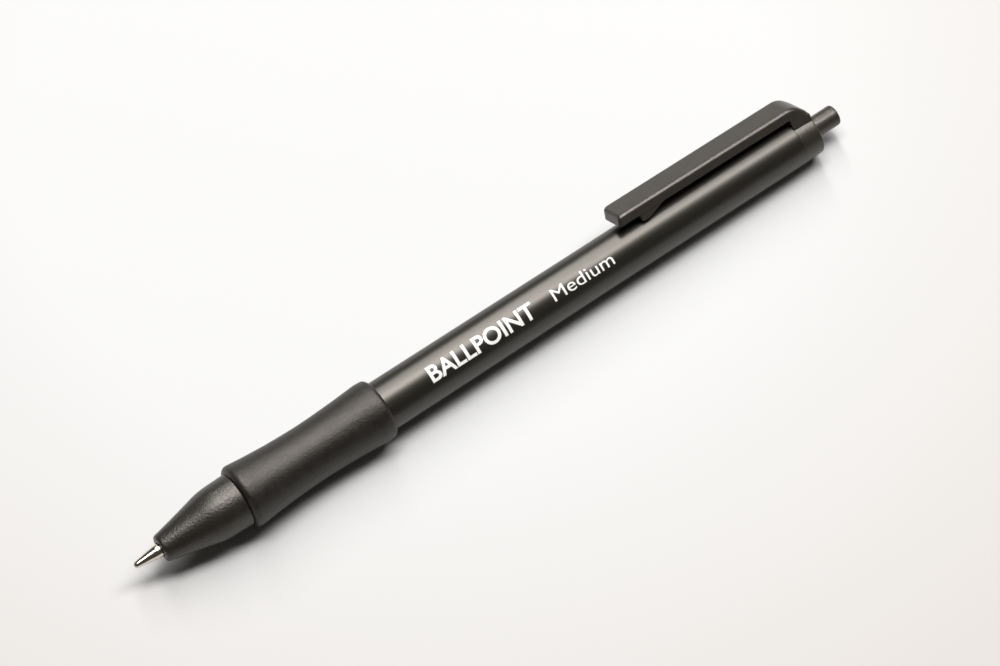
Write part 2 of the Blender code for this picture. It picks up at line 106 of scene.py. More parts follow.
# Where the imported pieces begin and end
NOSE_FRONT = station_of(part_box("front_section")[0].x)
SPIGOT_END = station_of(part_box("front_section")[1].x)
GRIP_FRONT = station_of(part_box("grip_sleeve")[0].x)
GRIP_END = station_of(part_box("grip_sleeve")[1].x)
BARREL_FRONT = station_of(BARREL_LOW.x)
BARREL_END = station_of(BARREL_HIGH.x)
CAP_SKIRT_FRONT = station_of(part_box("end_cap")[0].x)
CAP_END = station_of(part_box("end_cap")[1].x)
CLIP_FRONT = station_of(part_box("pocket_clip")[0].x)
BUTTON_FRONT = station_of(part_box("push_button")[0].x)
BUTTON_END = station_of(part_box("push_button")[1].x)
POINT_END = station_of(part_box("writing_point")[1].x)
SPRING_FRONT = station_of(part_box("return_spring")[0].x)
SPRING_END = station_of(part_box("return_spring")[1].x)
CAP_FRONT = BARREL_END + 0.02  # a fine seam behind the barrel

# Writing point and ball
BALL_RADIUS = 0.5
SOCKET_RADIUS = 0.53
LIP_STATION = 0.26
LIP_WALL = 0.05
POINT_CONE_START = 0.6
POINT_CONE_START_RADIUS = 0.6
POINT_CONE_END = 4.2
POINT_BODY_RADIUS = 1.15
POINT_BORE_START = 2.6
POINT_BORE_RADIUS = 0.55
FEED_END = 2.2
FEED_RADIUS = 0.2

# Front section: nose cone, grip core and threaded spigot
NOSE_HOLE_RADIUS = 1.3
NOSE_HOLE_END = 6.25
NOSE_FACE_RADIUS = 2.36  # of the front face, out to the corner that its fillet rounds
NOSE_FRONT_FILLET = 0.6
CONE_START = 5.4
CONE_START_RADIUS = 2.42
CONE_END = 15.05
CONE_END_RADIUS = 4.6
CONE_END_CURVE = 14.0
CONE_HOLLOW = 0.06  # how far the cone dips halfway
NOSE_REAR_RADIUS = 4.73
NOSE_REAR_GAP = 0.03
GUIDE_BORE_START = 6.65
GUIDE_BORE_RADIUS = 1.6
SPRING_SEAT = 9.5
CHAMBER_RADIUS = 2.45
GRIP_CORE_RADIUS = 3.8
GRIP_CORE_END = 47.9
SPIGOT_RADIUS = 3.3
THREAD_ROOT_RADIUS = 3.02
THREAD_START = 48.9
THREAD_PITCH = 1.0
THREAD_TURNS = 5

# Grip sleeve
GRIP_BORE_RADIUS = 3.9
GRIP_FRONT_RADIUS = 5.66
GRIP_LIP_RADIUS = 5.7
GRIP_LIP_STATION = 21.5
GRIP_LIP_FILLET = 1.1
GRIP_WAIST_RADIUS = 4.92
GRIP_WAIST_STATION = 35.1
GRIP_REAR_RADIUS = 5.46
GRIP_REAR_STATION = 46.5
GRIP_END_RADIUS = 5.33
GRIP_END_FILLET = 0.82
GRIP_LAP_RADIUS = 4.47  # where the grip laps over the barrel
GRIP_LAP_START = 48.0
RELIEF_ROOM = 0.015  # the smooth form lies this much lower, so that the relief fits the box
RELIEF_INNER_RADIUS = 4.6  # nearer to the axis the grip has no relief
PARTING_ANGLES = (math.radians(-77), math.radians(103))
PARTING_HALF_WIDTH = 0.14
PARTING_HEIGHT = 0.035
SKIN_WANDER = 0.012

# Barrel
BARREL_BORE_RADIUS = 3.4
BARREL_FRONT_RADIUS = 4.4
BARREL_MIDDLE = 92.3
BARREL_MIDDLE_RADIUS = 4.28
BARREL_MIDDLE_CURVE = 900.0
BARREL_REAR_RADIUS = 4.33

# End cap, with the shoulder that carries the clip
CAP_BORE_RADIUS = 2.05
CAP_SKIRT_RADIUS = 3.3
CAP_END_RADIUS = 4.2
CAP_FILLET = 0.3
SHOULDER_BASE = 2.85
SHOULDER_FLAT_END = 134.9
SHOULDER_TOP_CURVE = 3.2
SHOULDER_END = CAP_END - 0.06
SHOULDER_END_HEIGHT = 4.75
SHOULDER_END_CURVE = 2.4

# Pocket clip
CLIP_ROLL = math.radians(38.0)
CLIP_WIDTH = 5.9
CLIP_THICKNESS = 1.843
CLIP_ROOT_HEIGHT = 5.25  # of the underside, from the pen's axis
CLIP_FRONT_HEIGHT = 5.59
CLIP_FRONT_RAKE = 0.4
CLIP_EDGES = (0.75, 0.45)  # rounding of its outer edges, near and far side
CLIP_CORNERS = (0.5, 1.1)  # rounding of its front corners, near and far side
FINE_EDGE = 0.12
FRONT_REACH = 1.0  # the upright edges at the clip's front lie within this length
SHARP_EDGE = math.radians(50)
OUTWARD = 0.3  # a face whose normal rises more than this faces away from the pen
NUB_WIDTH = CLIP_WIDTH - 0.3
NUB_FRONT = 102.25
NUB_FLAT_END = 103.5
NUB_HEIGHT = 4.05  # of its flat, from the pen's axis
NUB_BACK = 107.4
NUB_BACK_HEIGHT = CLIP_FRONT_HEIGHT - 0.1
NUB_END = 109.2
NUB_END_HEIGHT = 5.9
NUB_ROOT_HEIGHT = 6.1  # inside the clip's arm
SADDLE_RADIUS = 5.0  # of the round hollow under the nub, which clears the barrel
SADDLE_START = 99.0
SADDLE_END = 110.0

# Push button
BUTTON_RADIUS = 1.86
BUTTON_FILLET = 0.45
BUTTON_HOLLOW_RADIUS = 1.43
BUTTON_HOLLOW_END = 136.5

# Return spring
WIRE_RADIUS = 0.18
SPRING_RADIUS = 2.05
SPRING_TURNS = 9
CLOSED_PITCH = 0.42

# Printing on the barrel
PRINT_ANGLE = math.radians(-22.5)
PRINT_RISE = 0.015


def place(station, radius, angle):
    """A point of the pen in the frame's metres."""
    return Vector(
        (
            FRONT_X + station * MM,
            AXIS_Y + radius * math.sin(angle) * MM,
            AXIS_Z + radius * math.cos(angle) * MM,
        )
    )


def arc(station, radius, size, start, stop, steps):
    """Points on a circle round (station, radius), from start to stop degrees."""
    points = []
    for i in range(steps + 1):
        angle = math.radians(start + (stop - start) * i / steps)
        points.append((station + size * math.cos(angle), radius + size * math.sin(angle)))
    return points


def rounded(outline, steps=8):
    """The outline with each corner that has a third value rounded to that fillet."""
    points = []
    for i, corner in enumerate(outline):
        here = Vector(corner[:2])
        if len(corner) == 2:
            points.append(tuple(here))
            continue
        back = (Vector(outline[i - 1][:2]) - here).normalized()
        ahead = (Vector(outline[(i + 1) % len(outline)][:2]) - here).normalized()
        half = back.angle(ahead) / 2
        reach = corner[2] / math.tan(half)
        centre = here + (back + ahead).normalized() * corner[2] / math.sin(half)
        first = here + back * reach - centre
        last = here + ahead * reach - centre
        for step in range(steps + 1):
            points.append(tuple(centre + first.slerp(last, step / steps) * corner[2]))
    return points


def finished(name, mesh, material, sharp=32.0):
    """The mesh as a piece of the scene, with edges over sharp degrees left sharp."""
    mesh.shade_smooth()
    mesh.set_sharp_from_angle(angle=math.radians(sharp))
    mesh.materials.append(material)
    piece = bpy.data.objects.new(name, mesh)
    bpy.context.scene.collection.objects.link(piece)
    return piece


def lathe_mesh(name, outline, sides, relief=None):
    """A turned body. The outline is a closed loop, or starts and ends on the axis. relief
    gives a change of radius for a station, a radius and an angle."""
    verts, rings = [], []
    for station, radius in outline:
        if radius < ON_AXIS:
            rings.append([len(verts)] * sides)
            verts.append(place(station, 0, 0))
            continue
        rings.append(list(range(len(verts), len(verts) + sides)))
        for side in range(sides):
            angle = 2 * math.pi * side / sides
            rise = relief(station, radius, angle) if relief else 0.0
            verts.append(place(station, radius + rise, angle))
    faces = []
    closed = outline[0][1] > ON_AXIS
    for i in range(len(rings) if closed else len(rings) - 1):
        one, two = rings[i], rings[(i + 1) % len(rings)]
        for side in range(sides):
            after = (side + 1) % sides
            corners = [one[side], one[after], two[after], two[side]]
            face = list(dict.fromkeys(corners))
            if len(face) > 2:
                faces.append(face)
    mesh = bpy.data.meshes.new(name)
    mesh.from_pydata(verts, [], faces)
    bm = bmesh.new()
    bm.from_mesh(mesh)
    bmesh.ops.recalc_face_normals(bm, faces=bm.faces)
    bm.to_mesh(mesh)
    bm.free()
    return mesh


def lathe(name, outline, material, sides=ROUND_SIDES, relief=None):
    """A turned piece with its material."""
    return finished(name, lathe_mesh(name, outline, sides, relief), material)


# Materials ---------------------------------------------------------------------------------


WARM = (1.0, 0.94, 0.865)  # the tint of what the black plastics mirror

# The colour sockets of a Mix node, which share their names with its other sockets
MIX_A, MIX_B, MIX_RESULT = 6, 7, 2


class Maker:
    """Builds one material's nodes round its Principled shader, in millimetres of the object."""

    def __init__(self, name, roughness, metallic=0.0, tint=(1.0, 1.0, 1.0), **settings):
        self.material = bpy.data.materials.new(name)
        self.material.use_nodes = True
        self.tree = self.material.node_tree
        self.shader = self.tree.nodes["Principled BSDF"]
        self.shader.inputs["Roughness"].default_value = roughness
        self.shader.inputs["Metallic"].default_value = metallic
        self.shader.inputs["Specular Tint"].default_value = (*tint, 1.0)
        for key, value in settings.items():
            self.shader.inputs[key.replace("_", " ")].default_value = value
        coordinates = self.tree.nodes.new("ShaderNodeTexCoord")
        self.position = self.vector_math("MULTIPLY", coordinates.outputs["Object"], (1000,) * 3)
        self.normal = None

    def link(self, source, target):
        self.tree.links.new(source, target)

    def vector_math(self, operation, source, value, result="Vector"):
        """source and a fixed vector, put through a vector operation."""
        node = self.tree.nodes.new("ShaderNodeVectorMath")
        node.operation = operation
        self.link(source, node.inputs[0])
        node.inputs[1].default_value = value
        return node.outputs[result]

    def noise(self, scale, detail=2.0, rough=0.5, stretch=(1, 1, 1), distortion=0.0):
        """Cloudy noise, drawn out along an axis where stretch is less than one."""
        node = self.tree.nodes.new("ShaderNodeTexNoise")
        node.inputs["Scale"].default_value = scale
        node.inputs["Detail"].default_value = detail
        node.inputs["Roughness"].default_value = rough
        node.inputs["Distortion"].default_value = distortion
        self.link(self.vector_math("MULTIPLY", self.position, stretch), node.inputs["Vector"])
        return node.outputs["Fac"]

    def pits(self, scale):
        """Small round cells, like leather."""
        node = self.tree.nodes.new("ShaderNodeTexVoronoi")
        node.feature = "SMOOTH_F1"
        node.inputs["Scale"].default_value = scale
        self.link(self.position, node.inputs["Vector"])
        return node.outputs["Distance"]

    def spread(self, source, low, high, start=0.3, stop=0.7):
        """source, from start to stop, as a value from low to high."""
        node = self.tree.nodes.new("ShaderNodeMapRange")
        self.link(source, node.inputs["Value"])
        node.inputs["From Min"].default_value = start
        node.inputs["From Max"].default_value = stop
        node.inputs["To Min"].default_value = low
        node.inputs["To Max"].default_value = high
        return node.outputs["Result"]

    def colour(self, source, one, two, start=0.3, stop=0.7):
        """The base colour, from one to two as source goes from start to stop."""
        share = self.spread(source, 0.0, 1.0, start, stop)
        node = self.tree.nodes.new("ShaderNodeMix")
        node.data_type = "RGBA"
        self.link(share, node.inputs["Factor"])
        node.inputs[MIX_A].default_value = (*one, 1.0)
        node.inputs[MIX_B].default_value = (*two, 1.0)
        self.link(node.outputs[MIX_RESULT], self.shader.inputs["Base Color"])

    def roughness(self, source):
        self.link(source, self.shader.inputs["Roughness"])

    def bump(self, height, depth):
        """Raises the surface by height times depth millimetres."""
        node = self.tree.nodes.new("ShaderNodeBump")
        node.inputs["Distance"].default_value = depth * MM
        self.link(height, node.inputs["Height"])
        if self.normal:
            self.link(self.normal, node.inputs["Normal"])
        self.normal = node.outputs["Normal"]
        self.link(self.normal, self.shader.inputs["Normal"])


def shade(colour, factor):
    """The colour, lighter or darker by factor."""
    return tuple(channel * factor for channel in colour)


def spark_plastic(name, colour, roughness, grain, depth):
    """Moulded plastic with the fine eroded grain of its tool."""
    make = Maker(name, roughness, tint=WARM, IOR=1.56)
    fine = make.noise(grain, detail=3.0, rough=0.6)
    broad = make.noise(0.35)
    make.colour(broad, colour, shade(colour, 1.35))
    make.roughness(make.spread(fine, roughness - 0.05, roughness + 0.06))
    make.bump(fine, depth)
    return make.material


def barrel_plastic(name):
    """Smooth polished plastic: faint flow along the pen and fine rubbing marks."""
    make = Maker(name, 0.33, tint=WARM, IOR=1.58)
    flow = make.noise(1.6, detail=3.0, rough=0.6, stretch=(0.12, 1, 1))
    marks = make.noise(9.0, rough=0.7, stretch=(0.5, 1, 1), distortion=0.4)
    make.colour(flow, (0.0085, 0.0079, 0.0062), (0.0115, 0.0106, 0.0084))
    make.roughness(make.spread(marks, 0.33, 0.36))
    make.bump(flow, 0.0015)
    make.bump(marks, 0.0003)
    return make.material


def rubber(name):
    """Matte grip rubber: a leathery tool texture with shiny and dull patches."""
    make = Maker(name, 0.5, tint=WARM)
    fine = make.noise(5.5, detail=3.0, rough=0.65)
    patch = make.noise(0.9, detail=4.0, rough=0.65)
    cells = make.pits(3.2)
    make.colour(patch, (0.0065, 0.0058, 0.005), (0.0125, 0.0112, 0.0098))
    make.roughness(make.spread(patch, 0.38, 0.47))
    make.bump(cells, 0.03)
    make.bump(fine, 0.05)
    return make.material


def acetal(name):
    """Milky moulded plastic, a little translucent."""
    make = Maker(name, 0.42, Subsurface_Weight=0.15, Subsurface_Scale=0.0008)
    flow = make.noise(0.8, detail=3.0, stretch=(0.3, 1, 1))
    make.colour(flow, (0.74, 0.73, 0.69), (0.83, 0.82, 0.78))
    make.roughness(make.spread(flow, 0.36, 0.48))
    make.bump(make.noise(6.0), 0.004)
    return make.material


def clear_plastic(name):
    """The refill's clear drawn tube, with faint streaks along it."""
    make = Maker(name, 0.2, Transmission_Weight=0.75, IOR=1.5)
    flow = make.noise(0.9, stretch=(0.1, 1, 1))
    make.colour(flow, (0.82, 0.84, 0.81), (0.9, 0.91, 0.89))
    make.roughness(make.spread(flow, 0.14, 0.26))
    make.bump(flow, 0.01)
    return make.material


def ink_liquid(name):
    """Thick black paste ink, glossy, with clots."""
    make = Maker(name, 0.15)
    clots = make.noise(1.4, detail=3.0, rough=0.6, stretch=(0.4, 1, 1))
    make.colour(clots, (0.004, 0.004, 0.006), (0.012, 0.012, 0.016))
    make.roughness(make.spread(clots, 0.1, 0.25))
    make.bump(clots, 0.01)
    return make.material


def turned_metal(name, colour, roughness, pitch, depth):
    """Metal from a lathe: fine grooves round the pen, a little uneven."""
    make = Maker(name, roughness, metallic=1.0)
    grooves = make.noise(pitch, detail=3.0, rough=0.7, stretch=(1, 0.02, 0.02))
    stains = make.noise(0.9, detail=3.0, rough=0.6)
    make.colour(stains, shade(colour, 0.86), colour)
    make.roughness(make.spread(grooves, roughness - 0.05, roughness + 0.08))
    make.bump(grooves, depth)
    return make.material


def ground_metal(name, colour, roughness):
    """Hard metal ground to a fine even grain."""
    make = Maker(name, roughness, metallic=1.0)
    grain = make.noise(14.0, rough=0.6)
    make.colour(grain, shade(colour, 0.9), colour)
    make.roughness(make.spread(grain, roughness - 0.05, roughness + 0.05))
    make.bump(grain, 0.0006)
    return make.material


def print_ink(name):
    """White pad printing: a little thin and uneven at this size."""
    make = Maker(name, 0.5)
    thin = make.noise(7.0, detail=3.0, rough=0.7)
    make.colour(thin, (0.55, 0.55, 0.53), (0.83, 0.83, 0.81), start=0.25, stop=0.6)
    make.roughness(make.spread(thin, 0.42, 0.6))
    make.bump(thin, 0.003)
    return make.material


NOSE_PLASTIC = spark_plastic(
    "nose_plastic", (0.0105, 0.0096, 0.0074), roughness=0.36, grain=2.6, depth=0.07
)
CAP_PLASTIC = spark_plastic(
    "cap_plastic", (0.018, 0.0162, 0.0125), roughness=0.35, grain=3.0, depth=0.035
)
BARREL_PLASTIC = barrel_plastic("barrel_plastic")
GRIP_RUBBER = rubber("grip_rubber_skin")
ACETAL = acetal("acetal_mouldings")
CLEAR = clear_plastic("refill_plastic")
INK = ink_liquid("writing_ink")
NICKEL = turned_metal(
    "nickel_silver_turned", (0.76, 0.70, 0.61), roughness=0.16, pitch=9.0, depth=0.004
)
CARBIDE = ground_metal("ground_carbide", (0.42, 0.42, 0.44), roughness=0.18)
STEEL = turned_metal(
    "drawn_spring_wire", (0.58, 0.57, 0.55), roughness=0.3, pitch=3.0, depth=0.002
)
PRINT = print_ink("pad_print")


# Pieces ------------------------------------------------------------------------------------


def nose_radius(station):
    """The cone's radius, a little hollow between its ends."""
    share = (station - CONE_START) / (CONE_END - CONE_START)
    straight = CONE_START_RADIUS + share * (CONE_END_RADIUS - CONE_START_RADIUS)
    return straight - 4 * CONE_HOLLOW * share * (1 - share)


def make_front_section():
    """The nose, the core that runs on under the grip and the spigot with its thread."""
    steps = 12
    cone = [CONE_START + (CONE_END - CONE_START) * i / steps for i in range(1, steps - 1)]
    rear = GRIP_FRONT - NOSE_REAR_GAP
    outline = [
        (NOSE_FRONT, NOSE_HOLE_RADIUS, 0.08),
        (NOSE_FRONT, NOSE_FACE_RADIUS, NOSE_FRONT_FILLET),
        *((station, nose_radius(station)) for station in cone),
        (CONE_END, CONE_END_RADIUS, CONE_END_CURVE),
        (rear, NOSE_REAR_RADIUS, 0.12),
        (rear, GRIP_CORE_RADIUS),
        (GRIP_CORE_END, GRIP_CORE_RADIUS, 0.1),
        (GRIP_CORE_END, SPIGOT_RADIUS),
        (THREAD_START, SPIGOT_RADIUS),
    ]
    for turn in range(THREAD_TURNS):
        crest = THREAD_START + (turn + 1) * THREAD_PITCH
        outline += [
            (crest - THREAD_PITCH / 2, THREAD_ROOT_RADIUS, 0.08),
            (crest, SPIGOT_RADIUS, 0.08),
        ]
    outline += [
        (SPIGOT_END, THREAD_ROOT_RADIUS),
        (SPIGOT_END, CHAMBER_RADIUS, 0.1),
        (SPRING_SEAT, CHAMBER_RADIUS),
        (SPRING_SEAT, GUIDE_BORE_RADIUS),
        (GUIDE_BORE_START, GUIDE_BORE_RADIUS),
        (NOSE_HOLE_END, NOSE_HOLE_RADIUS),
    ]
    piece = lathe("nose_and_core", rounded(outline), NOSE_PLASTIC)
    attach(piece, "housing")
    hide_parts("front_section")


def grip_radius(station):
    """The hourglass of the grip: two curves that meet at its waist."""
    if station < GRIP_WAIST_STATION:
        share = (GRIP_WAIST_STATION - station) / (GRIP_WAIST_STATION - GRIP_LIP_STATION)
        return GRIP_WAIST_RADIUS + (GRIP_LIP_RADIUS - GRIP_WAIST_RADIUS) * share**2
    share = (station - GRIP_WAIST_STATION) / (GRIP_REAR_STATION - GRIP_WAIST_STATION)
    return GRIP_WAIST_RADIUS + (GRIP_REAR_RADIUS - GRIP_WAIST_RADIUS) * share**1.6


def grip_relief(station, radius, angle):
    """The parting lines of the grip's mould, and the slight unevenness of soft rubber."""
    if radius < RELIEF_INNER_RADIUS:
        return 0.0
    line = 0.0
    for middle in PARTING_ANGLES:
        off = abs(math.remainder(angle - middle, 2 * math.pi)) * radius
        line += max(0.0, 1.0 - off / PARTING_HALF_WIDTH)
    wander = noise.noise((station * 0.9, math.sin(angle) * 3, math.cos(angle) * 3))
    return PARTING_HEIGHT * line * (0.8 + 0.5 * wander) + SKIN_WANDER * wander


def make_grip():
    """The rubber sleeve, which laps over the barrel's front end."""
    rings = 120
    length = GRIP_REAR_STATION - GRIP_LIP_STATION
    waist = [GRIP_LIP_STATION + length * i / rings for i in range(rings + 1)]
    outline = [
        (GRIP_FRONT, GRIP_BORE_RADIUS),
        (GRIP_FRONT, GRIP_FRONT_RADIUS, GRIP_LIP_FILLET),
        *((station, grip_radius(station) - RELIEF_ROOM) for station in waist),
        (GRIP_END, GRIP_END_RADIUS - RELIEF_ROOM, GRIP_END_FILLET),
        (GRIP_END, GRIP_LAP_RADIUS),
        (GRIP_LAP_START, GRIP_LAP_RADIUS),
        (GRIP_LAP_START, GRIP_BORE_RADIUS),
    ]
    mesh = lathe_mesh("grip_skin", rounded(outline, 10), GRIP_SIDES, grip_relief)
    piece = finished("grip_skin", mesh, GRIP_RUBBER)
    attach(piece, "housing")
    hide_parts("grip_sleeve")


def barrel_radius(station):
    """The barrel narrows a little towards its middle."""
    if station < BARREL_MIDDLE:
        share = (station - BARREL_FRONT) / (BARREL_MIDDLE - BARREL_FRONT)
        return BARREL_FRONT_RADIUS + share * (BARREL_MIDDLE_RADIUS - BARREL_FRONT_RADIUS)
    share = (station - BARREL_MIDDLE) / (BARREL_END - BARREL_MIDDLE)
    return BARREL_MIDDLE_RADIUS + share * (BARREL_REAR_RADIUS - BARREL_MIDDLE_RADIUS)


def make_barrel():
    """The straight tube between the grip and the cap."""
    outline = [
        (BARREL_FRONT, BARREL_BORE_RADIUS, 0.1),
        (BARREL_FRONT, BARREL_FRONT_RADIUS, 0.12),
        (BARREL_MIDDLE, BARREL_MIDDLE_RADIUS, BARREL_MIDDLE_CURVE),
        (BARREL_END, BARREL_REAR_RADIUS, 0.03),
        (BARREL_END, BARREL_BORE_RADIUS, 0.05),
    ]
    piece = lathe("barrel_shell", rounded(outline, 10), BARREL_PLASTIC)
    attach(piece, "housing")
    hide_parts("barrel")


def extruded_mesh(name, outline, width, edges, under, corners=()):
    """A side view of the clip given its width, at the clip's roll. edges rounds the edges that
    face away from the pen, near and far side, under rounds the rest, and corners rounds the
    two upright edges at the front, near and far side."""
    bm = bmesh.new()
    side_view = bm.faces.new([bm.verts.new((x, -width / 2, z)) for x, z in outline])
    moved = bmesh.ops.extrude_face_region(bm, geom=[side_view])["geom"]
    far_verts = [vert for vert in moved if isinstance(vert, bmesh.types.BMVert)]
    bmesh.ops.translate(bm, vec=(0, width, 0), verts=far_verts)
    reach = min(x for x, z in outline) + FRONT_REACH
    for size, side in zip(corners, (-1, 1)):
        upright = [
            edge
            for edge in bm.edges
            if all(vert.co.x < reach and vert.co.y * side > 0 for vert in edge.verts)
        ]
        bmesh.ops.bevel(bm, geom=upright, offset=size, segments=10, profile=0.5, affect="EDGES")
    bmesh.ops.recalc_face_normals(bm, faces=bm.faces)
    near_size, far_size = edges
    for size, outer, near in (
        (near_size, True, True),
        (far_size, True, False),
        (under, False, None),
    ):
        sharp = [
            edge
            for edge in bm.edges
            if edge.calc_face_angle(0) > SHARP_EDGE
            and any(face.normal.z > OUTWARD for face in edge.link_faces) == outer
            and (near is None or (sum(vert.co.y for vert in edge.verts) < -width / 2) == near)
        ]
        bmesh.ops.bevel(bm, geom=sharp, offset=size, segments=6, profile=0.5, affect="EDGES")
    for vert in bm.verts:
        station, across, height = vert.co
        sideways = Vector((0, math.cos(CLIP_ROLL), -math.sin(CLIP_ROLL)))
        vert.co = place(station, height, CLIP_ROLL) + across * MM * sideways
    mesh = bpy.data.meshes.new(name)
    bm.to_mesh(mesh)
    bm.free()
    return mesh


def evaluated_mesh(obj):
    """A new mesh of obj's shape, with its modifiers and its text worked out."""
    bpy.context.view_layer.update()
    graph = bpy.context.evaluated_depsgraph_get()
    return bpy.data.meshes.new_from_object(obj.evaluated_get(graph))


def joined(name, base, steps, material):
    """base with each (mesh, operation) applied to it in turn."""
    objects = bpy.context.scene.collection.objects
    obj = bpy.data.objects.new(name, base)
    objects.link(obj)
    tools = []
    for mesh, operation in steps:
        tool = bpy.data.objects.new(mesh.name, mesh)
        objects.link(tool)
        tools.append(tool)
        modifier = obj.modifiers.new(mesh.name, "BOOLEAN")
        modifier.operation = operation
        modifier.object = tool
        modifier.solver = "EXACT"
    result = evaluated_mesh(obj)
    for thing in [obj, *tools]:
        bpy.data.objects.remove(thing)
    result.name = name
    result.materials.clear()
    piece = finished(name, result, material, 40.0)
    modifier = piece.modifiers.new("flat_faces", "WEIGHTED_NORMAL")
    modifier.keep_sharp = True
    return piece


def make_cap_and_clip():
    """The ring, its shoulder and the springy clip, which are one moulding."""
    ring = [
        (CAP_SKIRT_FRONT, CAP_BORE_RADIUS),
        (CAP_SKIRT_FRONT, CAP_SKIRT_RADIUS, 0.15),
        (CAP_FRONT, CAP_SKIRT_RADIUS),
        (CAP_FRONT, BARREL_REAR_RADIUS, 0.03),
        (CAP_END, CAP_END_RADIUS, CAP_FILLET),
        (CAP_END, CAP_BORE_RADIUS, 0.18),
    ]
    arm = [
        (CAP_FRONT, SHOULDER_BASE),
        (CAP_FRONT, CLIP_ROOT_HEIGHT, 0.25),
        (CLIP_FRONT, CLIP_FRONT_HEIGHT),
        (CLIP_FRONT + CLIP_FRONT_RAKE, CLIP_FRONT_HEIGHT + CLIP_THICKNESS),
        (SHOULDER_FLAT_END, CLIP_ROOT_HEIGHT + CLIP_THICKNESS, SHOULDER_TOP_CURVE),
        (SHOULDER_END, SHOULDER_END_HEIGHT, SHOULDER_END_CURVE),
        (SHOULDER_END, SHOULDER_BASE),
    ]
    nub = [
        (NUB_FRONT, NUB_ROOT_HEIGHT),
        (NUB_FRONT, NUB_HEIGHT, 0.45),
        (NUB_FLAT_END, NUB_HEIGHT, 0.8),
        (NUB_BACK, NUB_BACK_HEIGHT, 0.8),
        (NUB_END, NUB_END_HEIGHT),
        (NUB_END, NUB_ROOT_HEIGHT),
    ]
    saddle = [
        (SADDLE_START, 0),
        (SADDLE_START, SADDLE_RADIUS),
        (SADDLE_END, SADDLE_RADIUS),
        (SADDLE_END, 0),
    ]
    arm_mesh = extruded_mesh(
        "clip_arm", rounded(arm, 12), CLIP_WIDTH, CLIP_EDGES, FINE_EDGE, CLIP_CORNERS
    )
    nub_mesh = extruded_mesh("clip_nub", rounded(nub), NUB_WIDTH, (FINE_EDGE, FINE_EDGE), FINE_EDGE)
    steps = [
        (nub_mesh, "UNION"),
        (lathe_mesh("clip_saddle", saddle, ROUND_SIDES), "DIFFERENCE"),
        (lathe_mesh("cap_ring", rounded(ring), ROUND_SIDES), "UNION"),
    ]
    piece = joined("cap_and_clip", arm_mesh, steps, CAP_PLASTIC)
    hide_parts("end_cap", "pocket_clip")
    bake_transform(piece)


def make_button():
    """The push button, hollow for the drive cam's shaft."""
    outline = [
        (BUTTON_END, 0),
        (BUTTON_END, BUTTON_RADIUS, BUTTON_FILLET),
        (BUTTON_FRONT, BUTTON_RADIUS, 0.15),
        (BUTTON_FRONT, BUTTON_HOLLOW_RADIUS),
        (BUTTON_HOLLOW_END, BUTTON_HOLLOW_RADIUS, 0.1),
        (BUTTON_HOLLOW_END, 0),
    ]
    piece = lathe("button_shell", rounded(outline), CAP_PLASTIC, SMALL_SIDES)
    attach(piece, "button")
    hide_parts("push_button")


def make_writing_point():
    """The turned cone, with a round socket whose lip is closed over the ball."""
    overhang = BALL_RADIUS - LIP_STATION
    lip_radius = math.sqrt(SOCKET_RADIUS**2 - overhang**2)
    lip_angle = math.degrees(math.atan2(lip_radius, -overhang))
    feed_angle = math.degrees(math.asin(FEED_RADIUS / SOCKET_RADIUS))
    outline = arc(BALL_RADIUS, 0, SOCKET_RADIUS, feed_angle, lip_angle, 14)
    outline += [
        (LIP_STATION, lip_radius + LIP_WALL, 0.02),
        (POINT_CONE_START, POINT_CONE_START_RADIUS, 0.2),
        (POINT_CONE_END, POINT_BODY_RADIUS, 0.8),
        (POINT_END, POINT_BODY_RADIUS, 0.1),
        (POINT_END, POINT_BORE_RADIUS),
        (POINT_BORE_START, POINT_BORE_RADIUS),
        (FEED_END, FEED_RADIUS),
    ]
    piece = lathe("turned_point", rounded(outline, 6), NICKEL, SMALL_SIDES)
    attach(piece, "refill")
    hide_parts("writing_point")


def make_ball():
    """The writing ball, whose front is the pen's first station."""
    outline = arc(BALL_RADIUS, 0, BALL_RADIUS, 180, 0, BALL_SIDES // 2)
    piece = lathe("ball", outline, CARBIDE, BALL_SIDES)
    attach(piece, "ball")
    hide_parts("point_ball")


def make_spring():
    """A helix of round wire with a closed turn at each end."""
    per_turn, around = 48, 12
    front = SPRING_FRONT + WIRE_RADIUS
    rear = SPRING_END - WIRE_RADIUS
    pitch = (rear - front - 2 * CLOSED_PITCH) / (SPRING_TURNS - 2)
    rings = SPRING_TURNS * per_turn
    verts, faces = [], []
    for ring in range(rings + 1):
        turn = ring / per_turn
        closed = min(turn, 1.0) + max(turn - (SPRING_TURNS - 1), 0.0)
        opened = min(max(turn - 1.0, 0.0), SPRING_TURNS - 2.0)
        station = front + closed * CLOSED_PITCH + opened * pitch
        for side in range(around):
            slant = 2 * math.pi * side / around
            along = station + WIRE_RADIUS * math.sin(slant)
            out = SPRING_RADIUS + WIRE_RADIUS * math.cos(slant)
            verts.append(place(along, out, 2 * math.pi * turn))
    for start in range(0, rings * around, around):
        for side in range(around):
            one, two = start + side, start + (side + 1) % around
            faces.append((one, two, two + around, one + around))
    faces.append(tuple(range(around))[::-1])
    faces.append(tuple(rings * around + side for side in range(around)))
    mesh = bpy.data.meshes.new("spring_coil")
    mesh.from_pydata(verts, [], faces)
    piece = finished("spring_coil", mesh, STEEL, 50.0)
    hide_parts("return_spring")
    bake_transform(piece)


